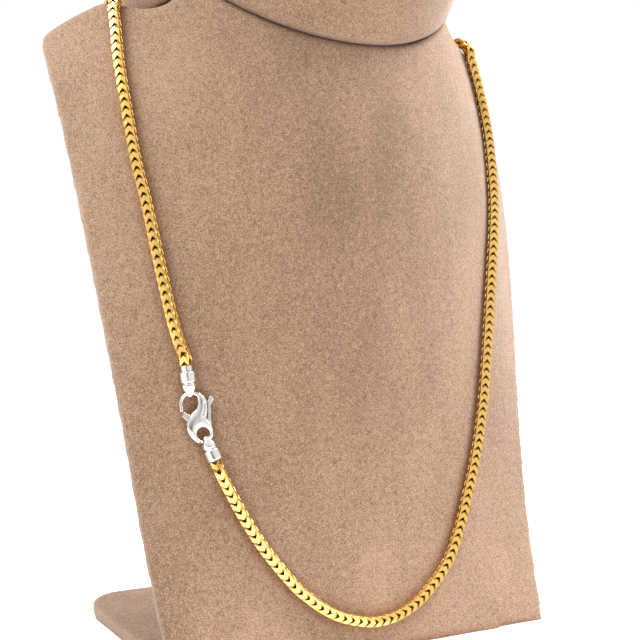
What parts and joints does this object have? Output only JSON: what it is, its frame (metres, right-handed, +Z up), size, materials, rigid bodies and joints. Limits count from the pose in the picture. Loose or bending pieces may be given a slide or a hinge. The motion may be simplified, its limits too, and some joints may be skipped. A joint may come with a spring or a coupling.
{
  "type": "franco chain necklace on a suede neck bust",
  "caption": "Square franco chain necklace with end caps and a lobster clasp, laid over a leaning suede neck bust.",
  "frame": {"origin": "on the floor, under the middle of the whole", "axes": "+Z up, -Y out of the front of the bust, +X to the right as seen from the front"},
  "size_m": [0.152, 0.08, 0.252],
  "materials": {
    "yellow_gold": "polished yellow gold",
    "white_gold": "polished white gold",
    "suede": "matte short-pile suede"
  },
  "bodies": {
    "necklace_on_bust": {"chain": "yellow_gold", "upper_end_cap": "white_gold", "lower_end_cap": "white_gold", "clasp_body": "white_gold", "clasp_pin": "white_gold", "bust_torso": "suede", "bust_neck": "suede", "bust_foot": "suede"},
    "lever": {"clasp_lever": "white_gold"}
  },
  "joints": [
    {"name": "clasp_lever_pivot", "type": "hinge", "parent": "necklace_on_bust", "child": "lever", "pos_m": [-0.04643, -0.02388, 0.06219], "axis": [0.2936, 0.9461, -0.1368], "range_deg": [0, 24], "stiffness_Nm_per_rad": 0.002, "springref_deg": -14.32}
  ]
}
